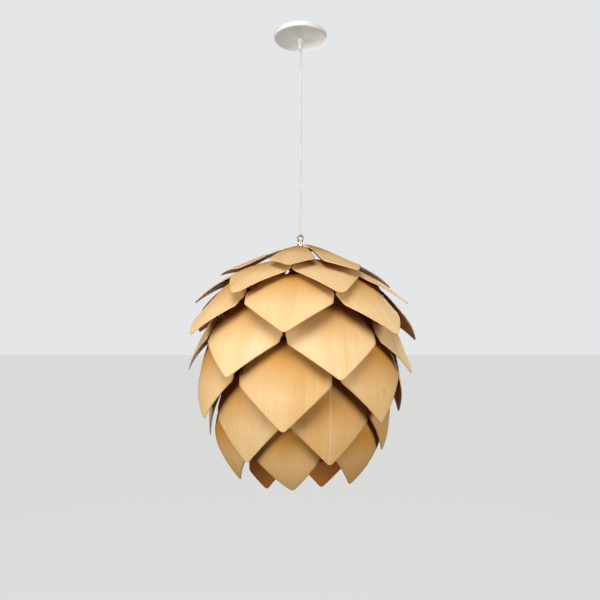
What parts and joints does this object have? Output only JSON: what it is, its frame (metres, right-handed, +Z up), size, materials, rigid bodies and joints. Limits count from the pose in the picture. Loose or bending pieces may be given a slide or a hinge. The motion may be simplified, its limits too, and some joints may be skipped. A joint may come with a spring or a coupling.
{
  "type": "pendant lamp",
  "caption": "Hanging lamp with a bud-shaped shade of overlapping bent wood-veneer leaves, a thin white cord and a round white ceiling canopy",
  "frame": {"origin": "middle of the ceiling strap's upper face, which lies on the ceiling", "axes": "+Z up along the cord, +X to the viewer's right, -Y towards the viewer, as in the picture"},
  "size_m": [0.4322, 0.431, 0.903],
  "materials": {
    "veneer": "pale birch-like veneer, clear matt finish",
    "frame_steel": "dark brown painted steel strip",
    "nickel": "polished nickel plate",
    "zinc_steel": "zinc-plated steel",
    "white_plastic": "white moulded plastic",
    "opal_glass": "opal white glass",
    "white_enamel": "satin white enamel",
    "white_cord": "smooth white flexible cord sheath"
  },
  "bodies": {
    "root": {"leaf_1_1": "veneer", "leaf_1_2": "veneer", "leaf_1_3": "veneer", "leaf_1_4": "veneer", "leaf_1_5": "veneer", "leaf_2_1": "veneer", "leaf_2_2": "veneer", "leaf_2_3": "veneer", "leaf_2_4": "veneer", "leaf_2_5": "veneer", "leaf_2_6": "veneer", "leaf_2_7": "veneer", "leaf_3_1": "veneer", "leaf_3_2": "veneer", "leaf_3_3": "veneer", "leaf_3_4": "veneer", "leaf_3_5": "veneer", "leaf_3_6": "veneer", "leaf_3_7": "veneer", "leaf_4_1": "veneer", "leaf_4_2": "veneer", "leaf_4_3": "veneer", "leaf_4_4": "veneer", "leaf_4_5": "veneer", "leaf_4_6": "veneer", "leaf_4_7": "veneer", "leaf_5_1": "veneer", "leaf_5_2": "veneer", "leaf_5_3": "veneer", "leaf_5_4": "veneer", "leaf_5_5": "veneer", "leaf_5_6": "veneer", "leaf_5_7": "veneer", "leaf_6_1": "veneer", "leaf_6_2": "veneer", "leaf_6_3": "veneer", "leaf_6_4": "veneer", "leaf_6_5": "veneer", "leaf_6_6": "veneer", "leaf_6_7": "veneer", "leaf_7_1": "veneer", "leaf_7_2": "veneer", "leaf_7_3": "veneer", "leaf_7_4": "veneer", "leaf_7_5": "veneer", "leaf_7_6": "veneer", "leaf_7_7": "veneer", "leaf_8_1": "veneer", "leaf_8_2": "veneer", "inner_frame": "frame_steel", "hang_loop": "nickel", "stem": "zinc_steel", "hub_nut": "zinc_steel", "lamp_holder": "white_plastic", "bulb_cap": "zinc_steel", "bulb_glass": "opal_glass", "ceiling_strap": "zinc_steel", "canopy": "white_enamel", "canopy_grip": "white_plastic", "cord": "white_cord"}
  },
  "joints": []
}
